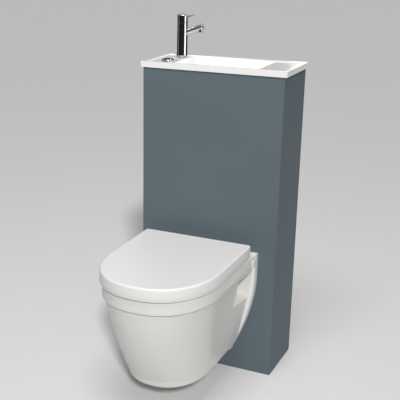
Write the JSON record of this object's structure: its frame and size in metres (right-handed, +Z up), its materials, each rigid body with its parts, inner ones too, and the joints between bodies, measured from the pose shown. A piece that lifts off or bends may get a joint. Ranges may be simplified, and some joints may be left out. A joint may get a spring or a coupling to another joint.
{
  "type": "wall-hung toilet with hand basin",
  "caption": "Wall-hung toilet on a slim boxed-in support frame, with a shallow one-piece hand basin, pillar tap and dual flush button on top.",
  "frame": {"origin": "on the floor and on the wall face, in the middle of the casing's width", "axes": "+X to the right seen from the front, +Y from the user towards the wall, +Z up; the wall is the plane y = 0"},
  "size_m": [0.47, 0.71, 1.1121],
  "materials": {
    "casing_paint": "satin blue-grey paint",
    "timber": "planed softwood",
    "frame_steel": "powder coat",
    "zinc_steel": "zinc plated",
    "spring_steel": "drawn wire",
    "white_plastic": "moulded",
    "grey_plastic": "moulded",
    "black_rubber": "moulded",
    "copper": "drawn copper pipe with soldered fittings",
    "brass": "machined",
    "chrome": "polished plating",
    "glazed_ceramic": "gloss glaze",
    "white_cast_basin": "satin white mineral casting",
    "seat_white": "gloss white"
  },
  "bodies": {
    "casing_and_frame": {"casing_front_panel": "casing_paint", "casing_left_panel": "casing_paint", "casing_right_panel": "casing_paint", "rear_rails": "timber", "panel_packers": "timber", "frame_left_upright": "frame_steel", "frame_right_upright": "frame_steel", "frame_top_rail": "frame_steel", "frame_bottom_rail": "frame_steel", "pan_bearing_plate": "frame_steel", "frame_feet": "zinc_steel", "wall_brackets": "zinc_steel", "cistern_shelf": "frame_steel", "cistern_tank": "white_plastic", "cistern_cover": "white_plastic", "flush_valve_seat": "white_plastic", "flush_valve_tower": "grey_plastic", "flush_valve_nut": "white_plastic", "flush_valve_washer": "black_rubber", "lever_bracket": "grey_plastic", "fill_valve": "white_plastic", "stop_valve": "chrome", "supply_pipe": "copper", "flush_pipe": "grey_plastic", "flush_pipe_seal": "black_rubber", "waste_bend": "grey_plastic", "waste_seal": "black_rubber", "waste_clip": "zinc_steel", "hanging_rods": "zinc_steel", "rod_nuts": "zinc_steel", "rod_sleeves": "white_plastic", "pan": "glazed_ceramic", "pan_rim": "glazed_ceramic", "pan_bowl": "glazed_ceramic", "hinge_posts": "chrome", "hand_basin": "white_cast_basin", "basin_waste": "chrome", "basin_waste_nut": "chrome", "basin_pipe": "white_plastic", "basin_trap": "white_plastic", "tap_body": "chrome", "tap_gasket": "black_rubber", "tap_nut": "brass", "tap_aerator": "chrome", "button_ring": "chrome", "full_button_spring": "spring_steel", "half_button_spring": "spring_steel"},
    "seat": {"seat_ring": "seat_white", "seat_pads": "black_rubber"},
    "lid": {"lid": "seat_white", "lid_pads": "black_rubber"},
    "tap_handle": {"tap_handle": "chrome"},
    "stop_handle": {"stop_valve_handle": "grey_plastic"},
    "full_button": {"full_flush_button": "chrome"},
    "half_button": {"half_flush_button": "chrome"},
    "full_lever": {"full_flush_lever": "grey_plastic"},
    "half_lever": {"half_flush_lever": "grey_plastic"},
    "lift_tube": {"flush_lift_tube": "white_plastic", "flush_seal": "black_rubber"},
    "half_slide": {"half_flush_slide": "white_plastic"},
    "float": {"float_arm": "white_plastic", "float_cup": "grey_plastic"}
  },
  "joints": [
    {"name": "seat_hinge", "type": "hinge", "parent": "casing_and_frame", "child": "seat", "pos_m": [-0.009, -0.278, 0.434], "axis": [-1, 0, 0], "range_deg": [0, 94]},
    {"name": "lid_hinge", "type": "hinge", "parent": "seat", "child": "lid", "pos_m": [-0.009, -0.278, 0.434], "axis": [1, 0, 0], "range_deg": [-95, 0]},
    {"name": "tap_turn", "type": "hinge", "parent": "casing_and_frame", "child": "tap_handle", "pos_m": [-0.165, -0.052, 1.085], "axis": [0, 0, 1], "range_deg": [-90, 0]},
    {"name": "stop_valve_turn", "type": "hinge", "parent": "casing_and_frame", "child": "stop_handle", "pos_m": [0.1855, -0.062, 0.7], "axis": [0, -1, 0], "range_deg": [0, 90]},
    {"name": "full_button_press", "type": "slide", "parent": "casing_and_frame", "child": "full_button", "axis": [0, 0, -1], "range_m": [0, 0.006], "stiffness_N_per_m": 300, "springref_m": -0.01, "deforming": ["full_button_spring"]},
    {"name": "half_button_press", "type": "slide", "parent": "casing_and_frame", "child": "half_button", "axis": [0, 0, -1], "range_m": [0, 0.006], "stiffness_N_per_m": 300, "springref_m": -0.01, "deforming": ["half_button_spring"]},
    {"name": "full_lever_tilt", "type": "hinge", "parent": "casing_and_frame", "child": "full_lever", "pos_m": [-0.12, -0.16, 0.852], "axis": [0, -1, 0], "range_deg": [0, 7.6]},
    {"name": "half_lever_tilt", "type": "hinge", "parent": "casing_and_frame", "child": "half_lever", "pos_m": [-0.12, -0.15, 0.852], "axis": [0, -1, 0], "range_deg": [0, 7.6]},
    {"name": "lift_tube_rise", "type": "slide", "parent": "casing_and_frame", "child": "lift_tube", "axis": [0, 0, 1], "range_m": [0, 0.015]},
    {"name": "half_slide_rise", "type": "slide", "parent": "casing_and_frame", "child": "half_slide", "axis": [0, 0, 1], "range_m": [0, 0.012]},
    {"name": "float_drop", "type": "hinge", "parent": "casing_and_frame", "child": "float", "pos_m": [0.103, -0.141, 0.8], "axis": [0, 1, 0], "range_deg": [-30, 0]}
  ],
  "couplings": [
    {"joint": "full_lever_tilt", "follows": "full_button_press", "rad_per_m": 22.107},
    {"joint": "half_lever_tilt", "follows": "half_button_press", "rad_per_m": 22.107},
    {"joint": "lift_tube_rise", "follows": "full_button_press", "ratio": 2.5},
    {"joint": "half_slide_rise", "follows": "half_button_press", "ratio": 2}
  ]
}
